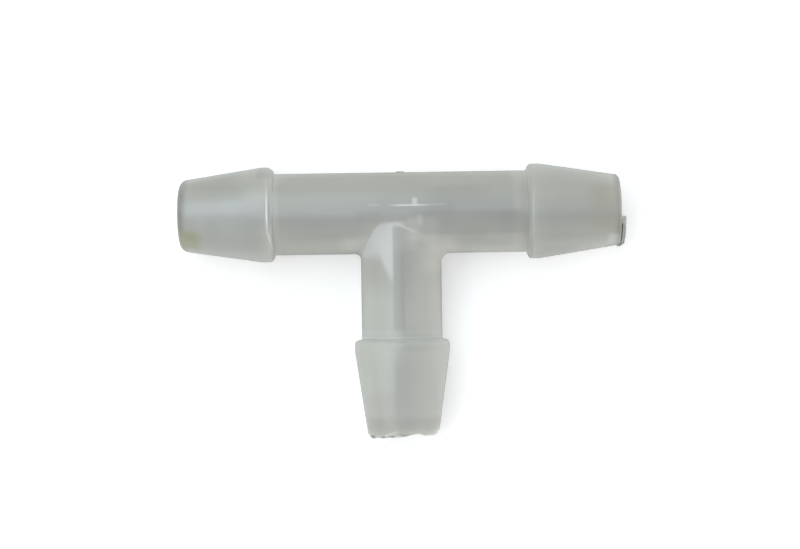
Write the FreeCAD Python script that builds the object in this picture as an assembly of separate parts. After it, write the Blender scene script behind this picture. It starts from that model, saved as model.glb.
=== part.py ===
import FreeCAD, Part
import math
import os

from FreeCAD import Vector

# Moulded tee for washer hose, in millimetres.
# The run lies along X, the leg points along -Y, and both axes cross at the origin.

# Bores and walls
run_bore = 5.1            # clear from end to end of the run
leg_bore = 5.0            # opens into the run bore
stem_wall = 1.4           # plastic round each bore between the barbs
bore_mouth_bevel = 0.12   # edge of the run bore at both open ends

# Barbs, the same on all three arms
neck_length = 8.35        # bare stem from the crossing stem to the shoulder
crest_step = 0.7          # how far the crest stands out from the run stem
crest_land = 1.3          # shoulder's foot to the end of the straight crest
barb_length = 9.05        # shoulder's foot to open end
tip_wall = 0.9            # plastic round the run bore at the open end
shoulder_lean = 0.25      # how far the shoulder slopes back from its foot to its edge
shoulder_round = 0.4      # that edge
worn_length = 0.6         # corner worn off the left shoulder on its back and top, along the run
worn_depth = 0.42         # and inwards from the crest
worn_shift = 0.18         # how far the wear lies off the axis, so that it dies out in front and below

# Open ends, each finished its own way
left_tip_beyond = 0.25    # how much further the left tip reaches than the right one
left_tip_round = 0.9      # well rounded
right_tip_bevel = 0.18    # nearly sharp
leg_tip_beyond = 0.55     # how much further the leg's cut end reaches, at its middle
trim_angle = 2.5          # slant of that cut, longer on the left, in degrees
trim_lean = 3.0           # lean of the same cut, shorter on top, in degrees

# Bites in the leg's cut end: angle from the top towards the right in degrees, width, depth
rim_bites = (
    (-46, 0.7, 0.16),
    (-24, 0.55, 0.12),
    (22, 2.3, 0.24),
    (84, 2.6, 0.55),
    (151, 1.6, 0.2),
    (-91, 3.3, 0.5),
)

# Junction and moulding marks
crown_blend = 2.6         # blend where the leg runs into the top and the underside of a thicker run
left_corner_blend = 0.55  # the same blend at the sides, where it is tightest
right_corner_blend = 0.9
ridge_stand = 0.05        # parting ridge, proud of the necks
ridge_width = 0.14        # parting ridge, across
gate_size = 0.8           # gate scar on the back of the run, across
gate_stand = 0.12         # how far it stands out
gate_tilt = 6.0           # slant of its broken top, in degrees
flash_reach = 0.42        # lip of flash beyond the right end
flash_thickness = 0.28
flash_slit = 0.12         # gap between the lip and the end face
flash_start = 12.0        # where the lip begins, in degrees from the top towards the leg's side
flash_end = 93.0          # where the lip ends
flash_foot = 12.0         # stretch joined to the rim at each end of the lip, in degrees
flash_corner = 0.3        # cut corner at the lip's lower end

# Sizes that follow from the ones above
run_stem_radius = run_bore / 2 + stem_wall
leg_stem_radius = leg_bore / 2 + stem_wall
crest_radius = run_stem_radius + crest_step
tip_radius = run_bore / 2 + tip_wall
shoulder_at = run_stem_radius + neck_length
crest_end = shoulder_at + crest_land
arm_reach = shoulder_at + barb_length
left_reach = arm_reach + left_tip_beyond
leg_reach = arm_reach + leg_tip_beyond
far = 2 * crest_radius    # spare length on tools that cut right through

along_x = Vector(1, 0, 0)
along_y = Vector(0, 1, 0)
along_z = Vector(0, 0, 1)
centre = Vector(0, 0, 0)


# Closed wire through (along, out, radius) corners, each turned by an arc of its own radius
def rounded_outline(corners):
    points = [Vector(along, out, 0) for along, out, radius in corners]
    turns = []
    for number, (along, out, radius) in enumerate(corners):
        here = points[number]
        back = (points[number - 1] - here).normalize()
        ahead = (points[(number + 1) % len(points)] - here).normalize()
        half_turn = back.getAngle(ahead) / 2
        set_back = radius / math.tan(half_turn)
        middle = here + (back + ahead).normalize() * (radius / math.sin(half_turn) - radius)
        turns.append((here + back * set_back, middle, here + ahead * set_back, radius))
    edges = []
    for number, (start, middle, end, radius) in enumerate(turns):
        edges.append(Part.LineSegment(turns[number - 1][2], start).toShape())
        if radius > 0:
            edges.append(Part.Arc(start, middle, end).toShape())
    return Part.Wire(edges)


# How steeply an arm that reaches this far tapers
def taper_slope(reach):
    return (crest_radius - tip_radius) / (reach - crest_end)


# Radius of the left tip's round, and the width of the flat that it leaves on the end face
def left_rim():
    set_back = 1 / math.tan(math.pi / 4 + math.atan(taper_slope(left_reach)) / 2)
    radius = min(left_tip_round, 0.9 * tip_wall / set_back)
    return radius, tip_wall - set_back * radius


# Corners of one arm from its neck outwards: stem, shoulder, crest, taper and tip, with stock to cut off
def arm_corners(stem_radius, reach, tip_round=0, stock=0):
    step = crest_radius - stem_radius
    return [
        (shoulder_at, stem_radius, 0),
        (shoulder_at + shoulder_lean, crest_radius, min(shoulder_round, 0.8 * step, 0.8 * crest_land)),
        (crest_end, crest_radius, 0),
        (reach + stock, tip_radius - taper_slope(reach) * stock, tip_round),
        (reach + stock, 0, 0),
    ]


# Solid form of the run, one turned shape from the left end to the right
def run_form():
    tip_round, flat = left_rim()
    right = arm_corners(run_stem_radius, arm_reach)
    left = arm_corners(run_stem_radius, left_reach, tip_round)
    mirrored = [(-along, out, radius) for along, out, radius in reversed(left)]
    outline = Part.Face(rounded_outline(mirrored + right))
    return outline.revolve(centre, along_x, 360)


# Solid form of the leg, made longer than the run's arms because its end is cut off at a slant
def leg_form():
    stock = crest_radius * (math.tan(math.radians(trim_angle)) + math.tan(math.radians(trim_lean)))
    corners = [(0, 0, 0), (0, leg_stem_radius, 0)]
    corners += arm_corners(leg_stem_radius, leg_reach, stock=stock)
    leg = Part.Face(rounded_outline(corners)).revolve(centre, along_x, 360)
    leg.rotate(centre, along_x, 45)
    leg.rotate(centre, along_z, -90)
    return leg


# True for an edge that lies on both stems
def is_junction(edge):
    span = edge.LastParameter - edge.FirstParameter
    spots = [edge.valueAt(edge.FirstParameter + share * span) for share in (0.2, 0.5, 0.8)]
    on_run = all(abs(math.hypot(spot.y, spot.z) - run_stem_radius) < 1e-4 for spot in spots)
    on_leg = all(abs(math.hypot(spot.x, spot.z) - leg_stem_radius) < 1e-4 for spot in spots)
    return on_run and on_leg


# Quarter of the junction, left or right of the leg's axis (-1 or 1) and below or above the parting plane
def junction_quarter(body, side, level, corner_blend):
    reach = run_stem_radius + 2 * corner_blend
    box = Part.makeBox(reach, reach + run_stem_radius, run_stem_radius, Vector(0, -reach, 0))
    if side < 0:
        box = box.mirror(centre, along_x)
    if level < 0:
        box = box.mirror(centre, along_z)
    quarter = body.common(box)
    edge = next(edge for edge in quarter.Edges if is_junction(edge))
    start, end = edge.valueAt(edge.FirstParameter), edge.valueAt(edge.LastParameter)
    crown = crown_blend if leg_stem_radius < run_stem_radius else corner_blend
    radii = (crown, corner_blend) if abs(start.x) < abs(end.x) else (corner_blend, crown)
    return quarter.makeFillet(*radii, [edge])


# Run and leg in one, with the inside corner between them blended
def outer_form():
    body = run_form().fuse(leg_form())
    quarters = []
    for side, corner_blend in ((-1, left_corner_blend), (1, right_corner_blend)):
        quarters += [junction_quarter(body, side, level, corner_blend) for level in (-1, 1)]
    return body.fuse(quarters)


# The two bores, as one tool
def bore_tool():
    through = Part.makeCylinder(run_bore / 2, 2 * (left_reach + far), Vector(-left_reach - far, 0, 0), along_x)
    branch = Part.makeCylinder(leg_bore / 2, leg_reach + far, centre, along_y * -1)
    return through.fuse(branch)


# Bevel on a round edge of the run's end face at the given place along the run
def bevel_rim(body, end, radius, size):
    rim = [edge for edge in body.Edges if is_rim(edge, end, radius)]
    return body.makeChamfer(size, rim)


# True for a circle of the given radius round the end face there
def is_rim(edge, end, radius):
    if edge.Degenerated or edge.Curve.TypeId != "Part::GeomCircle":
        return False
    return abs(edge.Curve.Center.x - end) < 1e-4 and abs(edge.Curve.Radius - radius) < 1e-4


# How far from the run's axis the leg's cut end lies, at a place across the leg
def cut_height(x, z):
    return -leg_reach + x * math.tan(math.radians(trim_angle)) + z * math.tan(math.radians(trim_lean))


# Block that takes off the end of the leg at a slant
def trim_tool():
    block = Part.makeBox(2 * far, far, 2 * far, Vector(-far, -far, -far))
    block.rotate(centre, along_x, -trim_lean)
    block.rotate(centre, along_z, trim_angle)
    block.translate(Vector(0, -leg_reach, 0))
    return block


# Scoop that bites into the leg's cut end, as wide and deep as asked
def bite_tool(angle, width, depth):
    turn = math.radians(angle)
    rim = (tip_radius + leg_bore / 2) / 2
    floor = cut_height(rim * math.sin(turn), rim * math.cos(turn))
    left, top, right = Vector(-width / 2, 0, 0), Vector(0, depth, 0), Vector(width / 2, 0, 0)
    below = Vector(0, -width, 0)
    sides = [Part.Arc(left, top, right).toShape(), Part.makePolygon([right, right + below, left + below, left])]
    scoop = Part.Face(Part.Wire(sides[:1] + sides[1].Edges)).extrude(along_z * far)
    scoop.translate(Vector(0, floor, 0))
    scoop.rotate(centre, along_y, angle)
    return scoop


# Low ridge where the two mould halves met, a tee-shaped sheet that shows only round the necks
def parting_ridge():
    end = shoulder_at + crest_land / 2
    run_edge = run_stem_radius + ridge_stand
    leg_edge = leg_stem_radius + ridge_stand
    inside_left = max(left_corner_blend - ridge_stand, 0)
    inside_right = max(right_corner_blend - ridge_stand, 0)
    outline = rounded_outline([
        (-end, run_edge, 0),
        (end, run_edge, 0),
        (end, -run_edge, 0),
        (leg_edge, -run_edge, inside_right),
        (leg_edge, -end, 0),
        (-leg_edge, -end, 0),
        (-leg_edge, -run_edge, inside_left),
        (-end, -run_edge, 0),
    ])
    sheet = Part.Face(outline).extrude(along_z * ridge_width)
    sheet.translate(along_z * (-ridge_width / 2))
    return sheet


# Scar where the gate was broken off, on the parting line behind the junction
def gate_scar():
    sunk = stem_wall / 2
    scar = Part.makeCylinder(gate_size / 2, sunk + gate_stand, Vector(0, run_stem_radius - sunk, 0), along_y)
    scar.rotate(Vector(0, run_stem_radius, 0), along_x, gate_tilt)
    return scar


# Sector of a ring round the run's axis, from one angle to another, measured from the top to the leg's side
def ring_sector(near, beyond, inner, outer, start, end):
    corners = [Vector(near, 0, inner), Vector(beyond, 0, inner), Vector(beyond, 0, outer), Vector(near, 0, outer)]
    section = Part.Face(Part.makePolygon(corners + corners[:1]))
    section.rotate(centre, along_x, start)
    return section.revolve(centre, along_x, end - start)


# Lip of flash at the right end, joined to the rim at both its ends and split from it between
def flash_lip():
    inner = tip_radius - flash_thickness / 2
    outer = tip_radius + flash_thickness / 2
    lip = ring_sector(arm_reach - right_tip_bevel, arm_reach + flash_reach, inner, outer, flash_start, flash_end)
    slit = ring_sector(arm_reach, arm_reach + flash_slit, inner - flash_thickness, outer + flash_thickness,
                       flash_start + flash_foot, flash_end - flash_foot)
    corner = Part.makeBox(far, far, 2 * far, Vector(0, -far / 2, -far))
    corner.rotate(centre, along_z, -45)
    corner.translate(Vector(arm_reach + flash_reach - flash_corner, -outer, 0))
    return lip.cut(slit).cut(corner)


# Ring that takes the worn corner off the left shoulder, shifted so that it bites on the back and the top
def worn_corner():
    shift = worn_shift * math.sqrt(0.5)
    inner = crest_radius - worn_depth + shift
    outer = inner + 2 * worn_depth
    beyond = -shoulder_at - 2 * worn_length
    corners = [Vector(-shoulder_at, inner, 0), Vector(beyond, outer, 0), Vector(-shoulder_at, outer, 0)]
    ring = Part.Face(Part.makePolygon(corners + corners[:1])).revolve(centre, along_x, 360)
    ring.translate(Vector(0, -shift, -shift))
    return ring


# The whole tee, one moulded piece
def tee():
    body = outer_form().fuse(parting_ridge()).fuse(gate_scar())
    body = body.cut(worn_corner())
    body = body.cut(bore_tool())
    tip_round, left_flat = left_rim()
    body = bevel_rim(body, -left_reach, run_bore / 2, min(bore_mouth_bevel, 0.6 * left_flat))
    body = bevel_rim(body, arm_reach, run_bore / 2, min(bore_mouth_bevel, 0.4 * tip_wall))
    body = bevel_rim(body, arm_reach, tip_radius, min(right_tip_bevel, 0.4 * tip_wall))
    body = body.cut(trim_tool())
    for angle, width, depth in rim_bites:
        body = body.cut(bite_tool(angle, width, depth))
    return body.fuse(flash_lip())


body = tee()
print("valid", body.isValid(), "solids", len(body.Solids), "volume", round(body.Volume, 1))
os.makedirs("parts", exist_ok=True)
body.exportStep("parts/tee_body.step")
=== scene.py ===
import math

import bmesh
import bpy
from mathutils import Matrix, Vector


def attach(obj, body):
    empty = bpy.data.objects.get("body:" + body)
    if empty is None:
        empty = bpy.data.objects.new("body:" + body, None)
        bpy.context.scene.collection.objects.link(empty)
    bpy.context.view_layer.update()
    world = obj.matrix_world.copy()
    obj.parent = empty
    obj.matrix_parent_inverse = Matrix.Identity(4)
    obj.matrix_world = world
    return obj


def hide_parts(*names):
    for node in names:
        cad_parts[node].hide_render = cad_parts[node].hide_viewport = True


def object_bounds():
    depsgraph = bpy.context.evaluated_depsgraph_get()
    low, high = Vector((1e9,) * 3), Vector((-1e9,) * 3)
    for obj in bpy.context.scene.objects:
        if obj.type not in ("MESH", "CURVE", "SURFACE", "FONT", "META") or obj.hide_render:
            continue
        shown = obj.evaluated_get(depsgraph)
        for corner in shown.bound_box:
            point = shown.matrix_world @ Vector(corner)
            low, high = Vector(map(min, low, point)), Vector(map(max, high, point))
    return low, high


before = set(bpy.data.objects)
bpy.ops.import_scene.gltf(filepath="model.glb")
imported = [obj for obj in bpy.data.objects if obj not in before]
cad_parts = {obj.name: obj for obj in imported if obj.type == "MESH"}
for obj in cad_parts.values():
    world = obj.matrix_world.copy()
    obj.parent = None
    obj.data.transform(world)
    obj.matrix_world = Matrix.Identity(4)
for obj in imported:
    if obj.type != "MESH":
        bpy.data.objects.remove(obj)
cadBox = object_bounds()    # its lowest and its highest corner

mm = 0.001


# New object in the scene
def addObject(name, data):
    thing = bpy.data.objects.new(name, data)
    bpy.context.scene.collection.objects.link(thing)
    return thing


# Camera straight above the junction, as in the photograph
camera = {
    "place": (-0.13, -6.04, 185.3),  # millimetres
    "turn": -0.87,                   # degrees, so that the run rises a little to the right
    "lens": 85.0,
    "sensorWidth": 36.0,
    "nearest": 10.0,                 # millimetres, nothing closer is seen
}


def makeCamera():
    data = bpy.data.cameras.new("overheadCamera")
    data.lens = camera["lens"]
    data.sensor_width = camera["sensorWidth"]
    data.clip_start = camera["nearest"] * mm
    overhead = addObject("overheadCamera", data)
    overhead.location = Vector(camera["place"]) * mm
    overhead.rotation_euler = (0, 0, math.radians(camera["turn"]))
    bpy.context.scene.camera = overhead
    print("camera ready")


# One socket of a node tree, so that shader maths reads as plain expressions
class Wire:
    def __init__(self, tree, socket):
        self.tree = tree
        self.socket = socket

    def maths(self, operation, first, second):
        node = self.tree.nodes.new("ShaderNodeMath")
        node.operation = operation
        plug(self.tree, node.inputs[0], first)
        plug(self.tree, node.inputs[1], second)
        return Wire(self.tree, node.outputs[0])

    def __add__(self, other):
        return self.maths("ADD", self, other)

    __radd__ = __add__

    def __sub__(self, other):
        return self.maths("SUBTRACT", self, other)

    def __rsub__(self, other):
        return self.maths("SUBTRACT", other, self)

    def __mul__(self, other):
        return self.maths("MULTIPLY", self, other)

    __rmul__ = __mul__

    def __abs__(self):
        return self.maths("ABSOLUTE", self, 0)

    # The lower and the higher of two values
    def lower(self, other):
        return self.maths("MINIMUM", self, other)

    def higher(self, other):
        return self.maths("MAXIMUM", self, other)


# Gives a socket its value, or a link from another socket
def plug(tree, socket, value):
    if isinstance(value, Wire):
        tree.links.new(value.socket, socket)
    else:
        socket.default_value = value


# Node tree of a material or of the room, with one method for every kind of node but maths
class Paint:
    def __init__(self, owner):
        owner.use_nodes = True
        self.owner = owner
        self.tree = owner.node_tree
        self.tree.nodes.clear()

    def node(self, kind, settings, sockets, output=0):
        node = self.tree.nodes.new("ShaderNode" + kind)
        for name, value in settings.items():
            setattr(node, name, value)
        for name, value in sockets.items():
            plug(self.tree, node.inputs[name], value)
        if len(node.outputs):
            return Wire(self.tree, node.outputs[output])

    # Colour that goes from the first to the second as the share goes from 0 to 1
    def blend(self, share, first, second):
        return self.node("Mix", {"data_type": "RGBA"}, {0: share, 6: first, 7: second}, output=2)

    # 0 up to the first value, 1 from the second, eased between them
    def ease(self, value, first, second):
        settings = {"interpolation_type": "SMOOTHSTEP"}
        return self.node("MapRange", settings, {"Value": value, "From Min": first, "From Max": second})

    # 1 up to this distance on both sides, then faded out over an edge
    def band(self, distance, reach, edge):
        return self.ease(abs(distance), reach + edge, reach)

    # X, Y and Z of a vector
    def axes(self, vector):
        return [self.node("SeparateXYZ", {}, {0: vector}, axis) for axis in "XYZ"]

    # For each sort of ray, 1 where it is one: from the camera, in a reflection, through glass
    def rays(self):
        sorts = ("Camera", "Glossy", "Transmission")
        return [self.node("LightPath", {}, {}, "Is " + sort + " Ray") for sort in sorts]


# Milky plastic of the tee, natural polypropylene
plastic = {
    # Painted shade over the bores and painted light beside them: the middle of each tube darker than its
    # flanks
    "overBore": (0.405, 0.408, 0.395, 1),
    "besideBore": (0.47, 0.47, 0.432, 1),
    "boreHalf": (0.2, 2.2),         # millimetres from a bore's axis, from the first colour to the second
    "cloudRange": (0.3, 0.7),
    "cloudDepth": 0.05,             # how far the clouds darken the plastic
    "cloudColour": (0, 0, 0, 1),
    "reach": 3.0 * mm,              # how far light spreads inside
    "roughness": 0.36,
    "roughnessDrift": 0.08,
    # Roughness under the painted shadows, which are matt and have no coat
    "shadowRoughness": 0.9,
    "ior": 1.49,
    "sheen": 0.05,
    "gloss": 0.2,                   # thin smoother skin over the satin
    "glossRoughness": 0.2,
    "grainDepth": 0.0012 * mm,
    "rippleDepth": 0.006 * mm,
}

# Its slow changes of colour, all painted light and painted shade: from where to where each one sets in, in
# millimetres, and its share there
tints = {
    # Painted light: paler towards the leg's end
    "legTip": {"from": (-2.0, -13.0), "share": 0.5, "colour": (0.545, 0.55, 0.515, 1)},
    # Painted shade: darker towards the parting plane, where the eye meets the wall edge on
    "rim": {"from": (1.5, 0.2), "share": 0.75, "colour": (0.3, 0.3, 0.27, 1)},
    # And painted shade, darker round both ends of the run
    "tip": {"from": (20.4, 21.5), "share": 0.8, "colour": (0.14, 0.14, 0.12, 1)},
}

# Its unevenness, 0.5 on average: patches for each millimetre, and how fine they go
noises = {
    "clouds": {"Scale": 1 / 5.0, "Detail": 3.0},
    "drift": {"Scale": 1.1, "Detail": 4.0},        # of the roughness
    "grain": {"Scale": 1 / 0.12, "Detail": 2.0},   # satin of the mould
    "ripple": {"Scale": 1 / 2.4, "Detail": 1.0},   # faint waves where the plastic shrank
}

# Marks on it, each laid over those before it, most of them painted light and painted shade. Middle, half
# size (reach) and soft edge are in millimetres along X and Y. A slope or a lean slants the mark, height is
# from where to where it fades in above the parting plane, and share is how much of its colour it gives.
pale = (0.72, 0.75, 0.72, 1)
warm = (0.62, 0.62, 0.57, 1)
shade = (0.28, 0.28, 0.27, 1)
olive = (0.25, 0.25, 0.2, 1)
grey = (0.2, 0.21, 0.19, 1)
# Near black, for painted shadow in the leg's chips, along its edge and round the lip
paintedShadow = (0.09, 0.09, 0.08, 1)
upperSide = (1.0, 2.0)    # height of a mark that gives none
allRound = (-9, -8)       # below the whole tee
marks = {
    # Painted highlights over the junction, a line with its tail and spots, with painted light and painted
    # shade round them
    "junctionTop": {
        "middle": (2.1, -1.7), "reach": (0.9, 0.7), "edge": (1.2, 0.8),
        "share": 0.32, "colour": (0.7, 0.7, 0.67, 1),
    },
    "rightJunctionShade": {
        "middle": (4.0, 0.3), "reach": (0.8, 0.3), "edge": (1.0, 0.5),
        "share": 0.2, "colour": shade,
    },
    "leftJunctionShade": {
        "middle": (-3.0, -0.5), "reach": (0.8, 0.3), "edge": (0.9, 0.5),
        "share": 0.2, "colour": shade,
    },
    "highlightLine": {
        "middle": (0.95, 0.62), "reach": (0.6, 0.02), "edge": (1.9, 0.13),
        "share": 0.8, "colour": pale,
    },
    "highlightTail": {
        "middle": (3.6, 0.67), "reach": (0.3, 0.02), "edge": (1.0, 0.12),
        "share": 0.3, "colour": pale,
    },
    "highlightSpot": {
        "middle": (1.38, 0.93), "reach": (0.1, 0.2), "edge": (0.28, 0.36),
        "share": 0.7, "colour": pale,
    },
    "softHighlight": {
        "middle": (1.85, -0.85), "reach": (0.02, 0.1), "edge": (0.5, 0.7),
        "share": 0.5, "colour": pale,
    },
    "faintHighlight": {
        "middle": (-2.6, 0.66), "reach": (0.1, 0.02), "edge": (0.8, 0.15),
        "share": 0.25, "colour": pale,
    },
    "creaseHighlight": {
        "middle": (0.85, -1.72), "reach": (0.6, 0.03), "edge": (0.7, 0.2), "slope": -0.42,
        "share": 0.45, "colour": pale,
    },
    "leftHighlightTop": {
        "middle": (-0.7, -1.2), "reach": (0.6, 0.04), "edge": (1.0, 0.35),
        "share": 0.4, "colour": pale,
    },
    # Painted light in the corners between the run and the leg, and along the front of the right run
    "leftCorner": {
        "middle": (-4.3, -3.3), "reach": (0.5, 0.4), "edge": (1.6, 1.0),
        "share": 0.65, "colour": warm,
    },
    "rightCorner": {
        "middle": (3.9, -4.2), "reach": (0.6, 0.8), "edge": (1.7, 1.4), "height": (0, 0.8),
        "share": 0.7, "colour": warm,
    },
    "rightRunRim": {
        "middle": (7.5, -3.7), "reach": (3.0, 0.2), "edge": (2.5, 0.35), "height": allRound,
        "share": 0.3, "colour": warm,
    },
    # Feet and faces of the three shoulders: painted light over the shade at their feet, a painted highlight
    # on the left face, and painted shade on the right shoulder and on the leg's
    "leftFoot": {
        "middle": (-12.1, 0), "reach": (0.1, 9), "edge": (0.5, 1), "height": allRound,
        "share": 0.4, "colour": warm,
    },
    "leftFootLine": {
        "middle": (-12.2, 0), "reach": (0.06, 9), "edge": (0.15, 1), "height": allRound,
        "share": 0.25, "colour": pale,
    },
    "leftFace": {
        "middle": (-12.37, 0.9), "reach": (0.05, 0.4), "edge": (0.1, 1.2),
        "share": 0.4, "colour": pale,
    },
    "rightFoot": {
        "middle": (11.7, 0), "reach": (0.4, 9), "edge": (0.9, 1), "height": allRound,
        "share": 0.32, "colour": warm,
    },
    "rightFootLine": {
        "middle": (12.25, 0), "reach": (0.12, 9), "edge": (0.14, 1), "height": allRound,
        "share": 0.5, "colour": warm,
    },
    "rightShoulder": {
        "middle": (12.6, 0), "reach": (0.1, 9), "edge": (0.16, 1), "height": allRound,
        "share": 0.3, "colour": grey,
    },
    "legFoot": {
        "middle": (0, -11.95), "reach": (9, 0.2), "edge": (1, 0.5), "height": allRound,
        "share": 0.15, "colour": pale,
    },
    "legFootLine": {
        "middle": (0, -12.22), "reach": (9, 0.1), "edge": (1, 0.15), "height": allRound,
        "share": 0.5, "colour": pale,
    },
    "legShoulder": {
        "middle": (1.2, -12.95), "reach": (2.0, 0.3), "edge": (1.6, 0.3),
        "share": 0.12, "colour": grey,
    },
    # Broad soft patches of painted light and painted shade where the photograph is lighter or darker, with
    # a painted glint on each shoulder
    "legLeft": {
        "middle": (-2.1, -12.4), "reach": (1.0, 3.6), "edge": (0.9, 2.6),
        "share": 0.17, "colour": pale,
    },
    "legCrown": {
        "middle": (-0.25, -7.6), "reach": (0.3, 3.2), "edge": (0.45, 1.2),
        "share": 0.42, "colour": (0.31, 0.305, 0.29, 1),
    },
    "leftBarbBack": {
        "middle": (-18.6, 3.3), "reach": (1.6, 0.3), "edge": (2.8, 1.2),
        "share": 0.25, "colour": olive,
    },
    "rightRunSide": {
        "middle": (6.6, -2.4), "reach": (0.6, 0.2), "edge": (1.8, 0.7),
        "share": 0.15, "colour": shade,
    },
    "rightRunBack": {
        "middle": (5.4, 1.6), "reach": (1.2, 0.5), "edge": (2.6, 1.0),
        "share": 0.25, "colour": shade,
    },
    "legRight": {
        "middle": (4.0, -9.5), "reach": (0.6, 5.5), "edge": (1.3, 2.5),
        "share": 0.27, "colour": (0.6, 0.6, 0.56, 1),
    },
    "leftRunFront": {
        "middle": (-7.4, -1.5), "reach": (2.6, 0.7), "edge": (2.4, 0.8),
        "share": 0.24, "colour": (0.28, 0.28, 0.28, 1),
    },
    "rightRunFront": {
        "middle": (6.6, -1.05), "reach": (4.2, 0.85), "edge": (1.8, 0.6),
        "share": 0.33, "colour": shade,
    },
    "rightNeckFront": {
        "middle": (10.9, -1.15), "reach": (1.2, 0.75), "edge": (0.5, 0.5),
        "share": 0.14, "colour": shade,
    },
    "leftBarbTop": {
        "middle": (-17.2, 0.7), "reach": (2.2, 0.1), "edge": (2.8, 1.1),
        "share": 0.42, "colour": (0.56, 0.59, 0.595, 1),
    },
    "leftCrest": {
        "middle": (-14.2, 1.9), "reach": (0.4, 0.3), "edge": (1.4, 1.0),
        "share": 0.13, "colour": pale,
    },
    "backRim": {
        "middle": (0, 4.0), "reach": (10.2, 0.4), "edge": (2.0, 1.1), "height": allRound,
        "share": 0.22, "colour": (0.25, 0.24, 0.17, 1),
    },
    "rightBarbBack": {
        "middle": (17.0, 0.7), "reach": (3.0, 0.3), "edge": (2.4, 1.3),
        "share": 0.35, "colour": (0.52, 0.52, 0.47, 1),
    },
    "rightBarbFront": {
        "middle": (17.0, -1.6), "reach": (3.6, 0.7), "edge": (2.0, 1.2),
        "share": 0.3, "colour": (0.34, 0.35, 0.32, 1),
    },
    "rightTip": {
        "middle": (20.2, 0.2), "reach": (0.8, 1.6), "edge": (2.2, 1.2),
        "share": 0.4, "colour": (0.35, 0.335, 0.28, 1),
    },
    "rightBarbRim": {
        "middle": (15.3, -4.1), "reach": (1.2, 0.3), "edge": (1.2, 0.5), "height": allRound,
        "share": 0.14, "colour": grey,
    },
    "junctionFront": {
        "middle": (0.9, -2.9), "reach": (0.3, 0.3), "edge": (0.8, 0.9),
        "share": 0.13, "colour": pale,
    },
    "leftGlint": {
        "middle": (-12.82, 0.35), "reach": (0.04, 0.7), "edge": (0.09, 1.9),
        "share": 1.0, "colour": pale,
    },
    "leftGlintEnd": {
        "middle": (-12.6, -2.5), "reach": (0.04, 0.3), "edge": (0.12, 1.2), "lean": -0.26,
        "share": 0.5, "colour": pale,
    },
    "leftBarbFront": {
        "middle": (-17.0, -2.2), "reach": (3.0, 1.0), "edge": (1.8, 1.2),
        "share": 0.35, "colour": (0.36, 0.38, 0.375, 1),
    },
    "rightGlint": {
        "middle": (12.7, -0.6), "reach": (0.03, 1.6), "edge": (0.1, 1.4),
        "share": 0.1, "colour": pale,
    },
    "legEnd": {
        "middle": (0.2, -20.85), "reach": (3.5, 0.5), "edge": (0.7, 0.9), "height": (0, 1),
        "share": 0.3, "colour": (0.3, 0.3, 0.27, 1),
    },
    "leftTip": {
        "middle": (-20.9, -1.3), "reach": (0.3, 0.6), "edge": (1.3, 0.8),
        "share": 0.22, "colour": olive,
    },
    "rightTipFront": {
        "middle": (20.7, -2.85), "reach": (0.3, 0.2), "edge": (0.6, 0.5), "height": (0, 1),
        "share": 0.33, "colour": pale,
    },
    "leftCrestBack": {
        "middle": (-13.1, 4.0), "reach": (0.5, 0.3), "edge": (0.6, 0.6), "height": allRound,
        "share": 0.25, "colour": grey,
    },
    # Chipped rim of the leg, with a painted highlight on its facet and painted shadow in its chips, along
    # its edge and in a corner
    "legFacet": {
        "middle": (-1.18, -21.4), "reach": (0.55, 0.03), "edge": (0.25, 0.16), "slope": 0.34,
        "height": (2.4, 2.9), "share": 0.35, "colour": pale,
    },
    "legChipA": {
        "middle": (-3.0, -21.85), "reach": (0.1, 0.1), "edge": (0.25, 0.25), "height": (-1, 0),
        "share": 0.8, "colour": paintedShadow,
    },
    "legChipB": {
        "middle": (-1.95, -21.8), "reach": (0.12, 0.06), "edge": (0.2, 0.15), "height": (2.2, 2.6),
        "share": 0.8, "colour": paintedShadow,
    },
    "legChipC": {
        "middle": (-1.2, -21.7), "reach": (0.16, 0.06), "edge": (0.25, 0.12), "height": (2.6, 3.0),
        "share": 0.8, "colour": paintedShadow,
    },
    "legEdge": {
        "middle": (1.2, -21.54), "reach": (1.2, 0.03), "edge": (0.6, 0.12), "height": (2.6, 3.0),
        "share": 0.5, "colour": paintedShadow,
    },
    "legCorner": {
        "middle": (3.8, -20.95), "reach": (0.1, 0.15), "edge": (0.2, 0.3), "height": (-2, -1),
        "share": 0.8, "colour": paintedShadow,
    },
    # Lip of flash on the right end, greyer, with painted shadow along its edge and at its end
    "lip": {
        "middle": (21.6, -2.2), "reach": (0.2, 1.6), "edge": (0.06, 0.2), "height": allRound,
        "share": 0.6, "colour": grey,
    },
    "lipEdge": {
        "middle": (21.72, -2.7), "reach": (0.08, 0.9), "edge": (0.06, 0.4), "height": allRound,
        "share": 1, "colour": paintedShadow,
    },
    "lipEnd": {
        "middle": (21.42, -3.5), "reach": (0.12, 0.1), "edge": (0.15, 0.2), "height": allRound,
        "share": 0.8, "colour": paintedShadow,
    },
    # Stain at the left end
    "stain": {
        "middle": (-20.5, -2.6), "reach": (0.4, 0.4), "edge": (1.2, 1.0),
        "share": 0.6, "colour": (0.32, 0.32, 0.19, 1),
    },
}

# Pale painted highlight where the left side of the leg meets the run, in millimetres
leftHighlight = {
    "foot": (-3.75, -4.0),       # low end of its slanted left side
    "slope": 2.6,                # of that side, which bends by the curve
    "curve": 0.55,
    "leftEdge": (0.2, -0.3),     # across that side, from nothing to the whole web
    "right": -0.78,
    "rightEdge": 0.17,           # half of that edge
    "topEdge": (-0.95, -1.4),
    "end": -4.1,
    "tail": 2.2,                 # how much further its right part runs down the leg
    "tailFrom": (-2.2, -0.9),
    "endEdge": (-0.9, 0.5),
    "height": (0.5, 1.5),
    "share": 0.68,
    "fade": 0.11,                # how much more of its colour there is for each millimetre to the left
    "colour": (0.63, 0.645, 0.63, 1),
}


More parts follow.
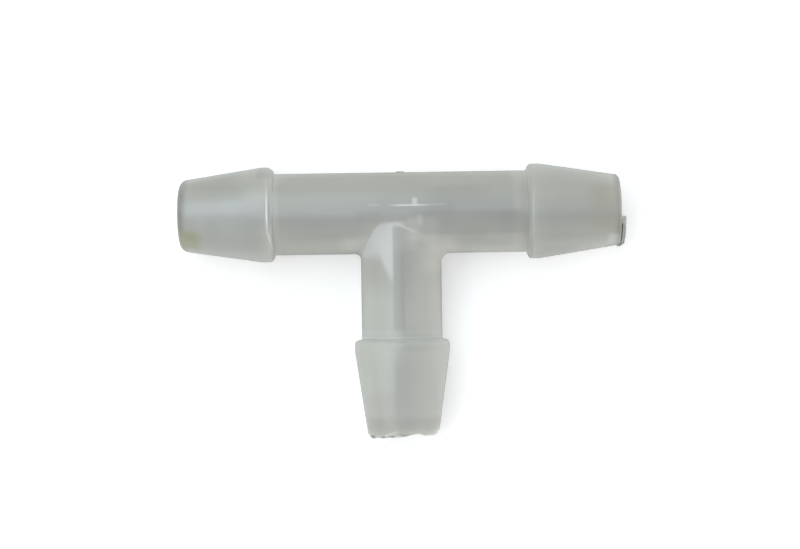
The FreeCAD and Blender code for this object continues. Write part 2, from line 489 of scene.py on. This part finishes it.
# The plastic's colour before any mark is on it, with the painted shade over the bores and the painted tints
def plainColour(paint, x, y, z):
    fromBore = abs(y).lower(abs(x).higher(y))    # the leg's bore lies in front of the run only
    share = paint.ease(fromBore, *plastic["boreHalf"])
    colour = paint.blend(share, plastic["overBore"], plastic["besideBore"])
    for name, distance in {"legTip": y, "rim": abs(z), "tip": abs(x)}.items():
        tint = tints[name]
        share = paint.ease(distance, *tint["from"]) * tint["share"]
        colour = paint.blend(share, colour, tint["colour"])
    return colour


# The colour with the marks on it, and how far from the painted shadows it is: 0 under them, where it is
# matt
def addMarks(paint, colour, x, y, z):
    unshadowed = 1.0
    for mark in marks.values():
        along = x - mark["middle"][0]
        across = y - mark["middle"][1]
        share = paint.ease(z, *mark.get("height", upperSide)) * mark["share"]
        share = share * paint.band(along - across * mark.get("lean", 0), mark["reach"][0], mark["edge"][0])
        share = share * paint.band(across - along * mark.get("slope", 0), mark["reach"][1], mark["edge"][1])
        colour = paint.blend(share, colour, mark["colour"])
        if mark["colour"] == paintedShadow:
            unshadowed = unshadowed * (1 - share)
    return colour, unshadowed


# The colour with the painted highlight on it: right of its slanted side and left of the leg's crown, with
# its tail
def addLeftHighlight(paint, colour, x, y, z):
    along = x - leftHighlight["foot"][0]
    slant = y - leftHighlight["foot"][1] - along * leftHighlight["slope"] + along * along * leftHighlight["curve"]
    end = leftHighlight["end"] - paint.ease(x, *leftHighlight["tailFrom"]) * leftHighlight["tail"]
    share = paint.ease(slant, *leftHighlight["leftEdge"])
    share = share * paint.ease(x, leftHighlight["right"] + leftHighlight["rightEdge"], leftHighlight["right"] - leftHighlight["rightEdge"])
    share = share * paint.ease(y, *leftHighlight["topEdge"])
    share = share * paint.ease(y - end, *leftHighlight["endEdge"])
    share = share * paint.ease(z, *leftHighlight["height"])
    share = share * (leftHighlight["share"] - x * leftHighlight["fade"])
    return paint.blend(share, colour, leftHighlight["colour"])


def milkyPlastic():
    paint = Paint(bpy.data.materials.new("milkyPlastic"))
    spot = paint.node("TexCoord", {}, {}, "Object")
    spot = paint.node("VectorMath", {"operation": "SCALE"}, {"Vector": spot, "Scale": 1 / mm})
    x, y, z = paint.axes(spot)
    noise = {name: paint.node("TexNoise", {}, {"Vector": spot, **noises[name]}) for name in noises}
    colour = plainColour(paint, x, y, z)
    colour, unshadowed = addMarks(paint, colour, x, y, z)
    colour = addLeftHighlight(paint, colour, x, y, z)
    clouds = paint.ease(noise["clouds"], *plastic["cloudRange"])
    colour = paint.blend(clouds * plastic["cloudDepth"], colour, plastic["cloudColour"])
    roughness = plastic["roughness"] + (noise["drift"] - 0.5) * plastic["roughnessDrift"]
    roughness = plastic["shadowRoughness"] + (roughness - plastic["shadowRoughness"]) * unshadowed
    relief = noise["grain"] * plastic["grainDepth"] + noise["ripple"] * plastic["rippleDepth"]
    normal = paint.node("Bump", {}, {"Height": relief, "Distance": 1.0})
    surface = paint.node("BsdfPrincipled", {}, {
        "Base Color": colour,
        "Roughness": roughness,
        "IOR": plastic["ior"],
        "Normal": normal,
        "Subsurface Weight": 1.0,
        "Subsurface Radius": (1.0, 1.0, 1.0),
        "Subsurface Scale": plastic["reach"],
        "Sheen Weight": plastic["sheen"],
        "Coat Weight": unshadowed * plastic["gloss"],
        "Coat Roughness": plastic["glossRoughness"],
        "Coat IOR": plastic["ior"],
    })
    paint.node("OutputMaterial", {}, {"Surface": surface})
    return paint.owner


# Painted shadow: a near black strip in the slit between the right end and its lip of flash, where shade
# falls
slitShadow = {
    "from": 21.35,    # millimetres along the run
    "to": 21.47,
    "radius": 3.42,
    "start": 24.0,    # degrees from the top towards the leg's side
    "end": 81.0,
    "steps": 12,
    "material": 1,    # second in the tee's list of materials
    "colour": (0.05, 0.05, 0.045, 1),
    "roughness": 0.8,
}


def addSlitShadow(shape):
    start = math.radians(slitShadow["start"])
    y = -slitShadow["radius"] * math.sin(start)
    z = slitShadow["radius"] * math.cos(start)
    ends = [shape.verts.new(Vector((slitShadow[side], y, z)) * mm) for side in ("to", "from")]
    line = ends + [shape.edges.new(ends)]
    before = set(shape.faces)
    turn = math.radians(slitShadow["end"]) - start
    bmesh.ops.spin(shape, geom=line, axis=(1, 0, 0), angle=turn, steps=slitShadow["steps"], use_merge=False)
    for face in set(shape.faces) - before:
        face.smooth = True
        face.material_index = slitShadow["material"]


# Material of the painted shadow in the slit
def paintedSlitShadow():
    paint = Paint(bpy.data.materials.new("paintedSlitShadow"))
    sockets = {"Base Color": slitShadow["colour"], "Roughness": slitShadow["roughness"]}
    paint.node("OutputMaterial", {}, {"Surface": paint.node("BsdfPrincipled", {}, sockets)})
    return paint.owner


# The tee itself, a merged copy of the CAD node
tee = {"merge": 0.0001 * mm, "sharpFrom": 25.0}


def makeTee():
    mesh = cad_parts["tee_body"].data.copy()
    mesh.name = "moulded_tee"
    shape = bmesh.new()
    shape.from_mesh(mesh)
    bmesh.ops.remove_doubles(shape, verts=shape.verts, dist=tee["merge"])
    for face in shape.faces:
        face.smooth = True
    addSlitShadow(shape)
    shape.to_mesh(mesh)
    shape.free()
    mesh.attributes.remove(mesh.attributes["custom_normal"])    # no longer true once corners are merged
    mesh.set_sharp_from_angle(angle=math.radians(tee["sharpFrom"]))
    mesh.materials.clear()
    mesh.materials.append(milkyPlastic())
    mesh.materials.append(paintedSlitShadow())
    body = addObject("moulded_tee", mesh)
    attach(body, "root")
    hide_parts("tee_body")
    print("tee ready,", len(mesh.polygons), "faces")


# White paper that the tee lies on
paper = {
    "size": 1.2,        # metres
    "colour": (0.9, 0.9, 0.9, 1),
    "lift": 0.35,       # added where the camera sees the paper, so that it looks white
    "inGloss": 0.2,     # share of that in reflections
}


def makePaper():
    paint = Paint(bpy.data.materials.new("whitePaper"))
    camera, gloss, glass = paint.rays()
    matt = paint.node("BsdfDiffuse", {}, {"Color": paper["colour"]})
    seen = camera + glass + gloss * paper["inGloss"]
    glow = paint.node("Emission", {}, {"Strength": seen * paper["lift"]})
    surface = paint.node("AddShader", {}, {0: matt, 1: glow})
    paint.node("OutputMaterial", {}, {"Surface": surface})
    shape = bmesh.new()
    bmesh.ops.create_grid(shape, x_segments=1, y_segments=1, size=paper["size"] / 2)
    bmesh.ops.translate(shape, verts=shape.verts, vec=(0, 0, cadBox[0].z))
    mesh = bpy.data.meshes.new("paper")
    shape.to_mesh(mesh)
    shape.free()
    mesh.materials.append(paint.owner)
    sheet = addObject("paper", mesh)
    print("paper ready")


# Soft light panels that hang level over the tee: middle and size in metres, brightness, tint
panelHeight = 0.6
panels = {
    "window": {
        "middle": (-0.18, 0.34), "size": (0.34, 0.86),
        "brightness": 3.0, "tint": (0.9, 1.0, 1.03),
    },
    "leftPanel": {
        "middle": (-0.85, -0.3), "size": (1.16, 0.62),
        "brightness": 1.6, "tint": (0.99, 1.0, 0.98),
    },
}


def makePanels():
    for name, panel in panels.items():
        width, depth = panel["size"]
        data = bpy.data.lights.new(name, "AREA")
        data.shape = "RECTANGLE"
        data.size = width
        data.size_y = depth
        data.energy = panel["brightness"] * math.pi * width * depth
        data.color = panel["tint"]
        light = addObject(name, data)
        light.location = (*panel["middle"], panelHeight)
    print("light panels ready,", len(panels))


# Room: white for the camera, grey in reflections, and its light bright round about and dim overhead
room = {
    "low": 1.12,        # brightness round about
    "overhead": 0.16,
    "dimFrom": 0.35,    # how far up it starts to go dim, and where it is dimmest
    "dimTo": 0.9,
    "lean": 0.55,       # how much brighter it is on the right, away from the panels
    "front": 0.15,      # how much brighter it is in front
    "narrow": 0.4,      # how much dimmer it is along Y than along X
    "inGloss": 0.36,    # how bright it looks in reflections
}


def makeRoom():
    world = bpy.data.worlds.new("room")
    bpy.context.scene.world = world
    paint = Paint(world)
    camera, gloss, glass = paint.rays()
    x, y, up = paint.axes(paint.node("TexCoord", {}, {}, "Generated"))
    low = paint.ease(up, room["dimTo"], room["dimFrom"])
    glow = low * (room["low"] - room["overhead"]) + room["overhead"]
    glow = glow * (x * room["lean"] - y * room["front"] - y * y * room["narrow"] + 1)
    strength = camera + glass + gloss * room["inGloss"] + (1 - camera - glass - gloss) * glow
    light = paint.node("Background", {}, {"Color": (1, 1, 1, 1), "Strength": strength})
    paint.node("OutputWorld", {}, {"Surface": light})
    print("room ready")


bpy.context.scene.view_settings.view_transform = "Standard"
makeCamera()
makeTee()
makePaper()
makePanels()
makeRoom()
